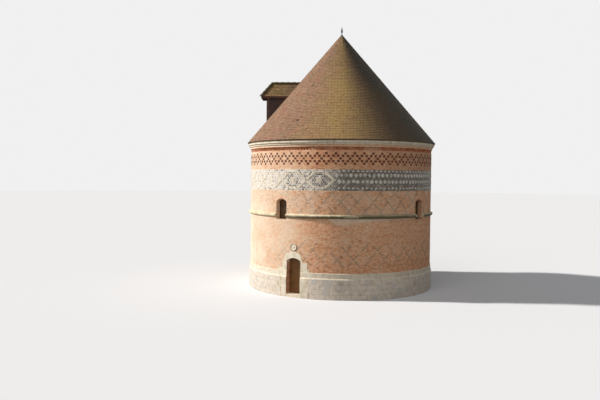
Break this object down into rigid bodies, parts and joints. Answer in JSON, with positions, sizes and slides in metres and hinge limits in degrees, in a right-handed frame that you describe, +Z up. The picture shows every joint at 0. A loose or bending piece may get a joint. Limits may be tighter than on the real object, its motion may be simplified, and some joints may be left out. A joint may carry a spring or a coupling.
{
  "type": "dovecote",
  "caption": "Round brick dovecote on a stone plinth, with a flint band, string course, moulded cornice, conical tiled roof, hipped flight dormer, arched windows and a hinged plank door.",
  "frame": {"origin": "on the tower's axis at ground level, under the plinth", "axes": "+Z up; the door faces -Y, and the flight dormer is at the left and slightly to the front, at 209 degrees from +X"},
  "size_m": [9.94, 9.94, 13.84],
  "materials": {
    "brick": "matte",
    "limestone": "matte",
    "plinth_stone": "matte",
    "flint": "satin",
    "roof_tile": "matte",
    "paving": "matte",
    "finial_sheet": "matte",
    "dormer_timber": "matte",
    "roof_timber": "matte",
    "door_timber": "satin",
    "window_timber": "satin",
    "window_glass": "gloss",
    "iron": "matte"
  },
  "bodies": {
    "building": {"cornice": "limestone", "door_arch_stones": "limestone", "door_head_wall": "brick", "door_jambs": "limestone", "door_roundel": "limestone", "dormer_cheeks": "dormer_timber", "dormer_frame": "dormer_timber", "dormer_hip": "roof_tile", "dormer_slope_left": "roof_tile", "dormer_slope_right": "roof_tile", "eaves_courses": "brick", "finial": "finial_sheet", "flight_board": "dormer_timber", "flint_band": "flint", "floor_paving": "paving", "inner_lintel": "roof_timber", "king_post": "roof_timber", "landing_ledges": "dormer_timber", "lattice_band": "brick", "lower_wall_back": "brick", "lower_wall_front": "brick", "lower_wall_left": "brick", "lower_wall_right": "brick", "pintles": "iron", "plinth_back": "plinth_stone", "plinth_front": "plinth_stone", "plinth_left": "plinth_stone", "plinth_right": "plinth_stone", "rafters": "roof_timber", "roof_back": "roof_tile", "roof_front": "roof_tile", "roof_left": "roof_tile", "roof_right": "roof_tile", "string_course": "limestone", "threshold": "limestone", "wall_plate": "roof_timber", "window_frames": "window_timber", "window_panes": "window_glass", "window_wall_back": "brick", "window_wall_front": "brick", "window_wall_left": "brick", "window_wall_right": "brick"},
    "door": {"door_leaf": "door_timber", "strap_hinges": "iron", "door_latch": "iron"}
  },
  "joints": [
    {"name": "door_hinge", "type": "hinge", "parent": "building", "child": "door", "pos_m": [-0.41, -4.436, 0], "axis": [0, 0, 1], "range_deg": [0, 95]}
  ]
}
